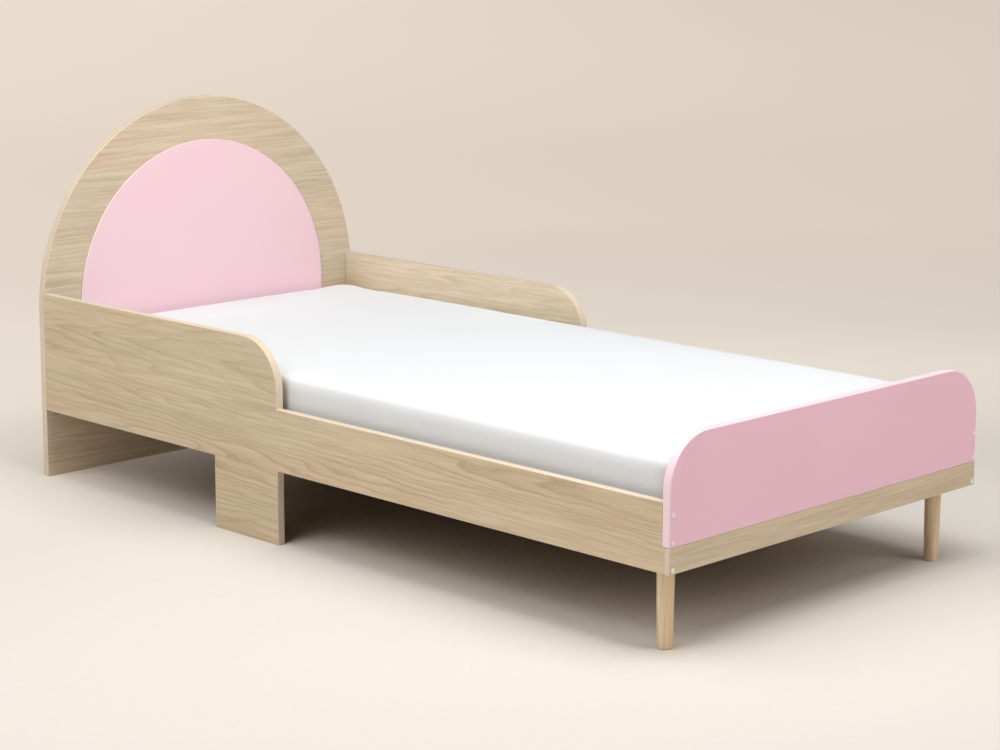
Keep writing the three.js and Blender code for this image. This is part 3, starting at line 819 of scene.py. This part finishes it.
def apply_all(made):
    """Turns a piece's modifiers into its mesh."""
    graph = bpy.context.evaluated_depsgraph_get()
    data = bpy.data.meshes.new_from_object(made.evaluated_get(graph))
    made.modifiers.clear()
    made.data = data


def fill_cover(made):
    """Blows the cover up against its filling. Its underside stays flat on the slats."""
    rest = [v.co.copy() for v in made.data.vertices]
    pins = made.vertex_groups.new(name="underside")
    pins.add([i for i, p in enumerate(rest) if p.z < PAD_LOW.z + PAD_PINNED], 1.0, "REPLACE")
    cloth = made.modifiers.new("cloth", "CLOTH")
    cloth.settings.quality = 4
    cloth.settings.mass = 0.3
    cloth.settings.tension_stiffness = 25
    cloth.settings.compression_stiffness = 25
    cloth.settings.bending_stiffness = 4
    cloth.settings.use_pressure = True
    cloth.settings.uniform_pressure_force = 4.0
    cloth.settings.vertex_group_mass = pins.name
    cloth.settings.effector_weights.gravity = 0.0
    cloth.collision_settings.use_self_collision = False
    cloth.point_cache.frame_end = PAD_FRAMES
    for step in range(1, PAD_FRAMES + 1):
        bpy.context.scene.frame_set(step)
    apply_all(made)
    bpy.context.scene.frame_set(1)
    for vertex, start in zip(made.data.vertices, rest):
        move = vertex.co - start
        if move.length > 1e-9:
            move *= PAD_MOST_MOVE * math.tanh(move.length / PAD_MOST_MOVE) / move.length
        vertex.co = start + move


def soften(made):
    """Small unevenness of a soft core under its cover, then no point beyond its room."""
    height = PAD_HIGH.z - PAD_LOW.z
    normals = [v.normal.copy() for v in made.data.vertices]
    for vertex, normal in zip(made.data.vertices, normals):
        free = max(0.0, min(1.0, (vertex.co.z - PAD_LOW.z) / height))
        dip = sum(perlin.noise(vertex.co * rate) * depth for rate, depth in PAD_DIPS)
        vertex.co = clear_of_frame(vertex.co + normal * dip * free)


def make_mattress():
    made = pad_block(cover_cloth("white_cover_cloth"))
    made.modifiers.new("even", "REMESH").mode = "VOXEL"
    made.modifiers["even"].voxel_size = PAD_VOXEL
    apply_all(made)
    fill_cover(made)
    soften(made)
    smooth = made.modifiers.new("smooth", "SUBSURF")
    smooth.levels = smooth.render_levels = 1
    apply_all(made)
    for polygon in made.data.polygons:
        polygon.use_smooth = True
    place(made, "mattress", "mattress_body")


# ---- studio ----

FOCAL_LENGTH = 86.84
SENSOR_WIDTH = 36.0
CAMERA_PLACE = (-3.6188, -3.6931, 1.3724)
CAMERA_YAW, CAMERA_PITCH, CAMERA_ROLL = (math.radians(a) for a in (-44.958, -9.894, 0.126))
CAMERA_SHIFT = -0.07

# Square softboxes, each aimed at the middle of the bed: (name, place, side, watts)
SOFTBOXES = (
    ("softbox_over_left", (-1.35, 0.4, 3.2), 3.0, 68.0),
    ("softbox_over_foot", (0.0, -1.35, 2.8), 2.0, 58.0),
    ("softbox_front", (1.2, -4.0, 2.4), 2.5, 40.0),
    ("softbox_left", (-3.6, -0.4, 2.4), 2.5, 48.0),
)
AIM = (0.0, 0.0, 0.3)
SKY_STRENGTH = 0.08
FLOOR_HALF = 80.0


def add_camera():
    data = bpy.data.cameras.new("camera")
    data.lens, data.sensor_width = FOCAL_LENGTH, SENSOR_WIDTH
    data.shift_y = CAMERA_SHIFT
    data.clip_end = 4 * FLOOR_HALF
    camera = bpy.data.objects.new("camera", data)
    bpy.context.scene.collection.objects.link(camera)
    turn = Matrix.Rotation(CAMERA_YAW, 4, "Z") @ Matrix.Rotation(math.pi / 2 + CAMERA_PITCH, 4, "X")
    camera.matrix_world = (
        Matrix.Translation(CAMERA_PLACE) @ turn @ Matrix.Rotation(CAMERA_ROLL, 4, "Z")
    )
    bpy.context.scene.camera = camera


def add_floor():
    mesh = bmesh.new()
    bmesh.ops.create_grid(mesh, x_segments=1, y_segments=1, size=FLOOR_HALF)
    floor = finish_mesh(mesh, "studio_floor", (studio_floor("pale_floor"),))


def add_light():
    for name, spot, side, watts in SOFTBOXES:
        data = bpy.data.lights.new(name, "AREA")
        data.shape, data.size, data.energy = "SQUARE", side, watts
        lamp = bpy.data.objects.new(name, data)
        lamp.location = spot
        lamp.rotation_mode = "QUATERNION"
        lamp.rotation_quaternion = (Vector(spot) - Vector(AIM)).to_track_quat("Z", "Y")
        lamp.visible_camera = False
        bpy.context.scene.collection.objects.link(lamp)
    world = bpy.data.worlds.new("studio")
    world.use_nodes = True
    background = world.node_tree.nodes["Background"]
    background.inputs[0].default_value = (1.0, 1.0, 1.0, 1.0)
    background.inputs[1].default_value = SKY_STRENGTH
    bpy.context.scene.world = world
    bpy.context.scene.view_settings.view_transform = "Standard"


add_camera()
add_floor()
add_light()
make_headboard()
make_side_panels()
make_foot_end()
make_legs()
make_caps()
dress_base()
make_hardware()
make_straps()
make_mattress()
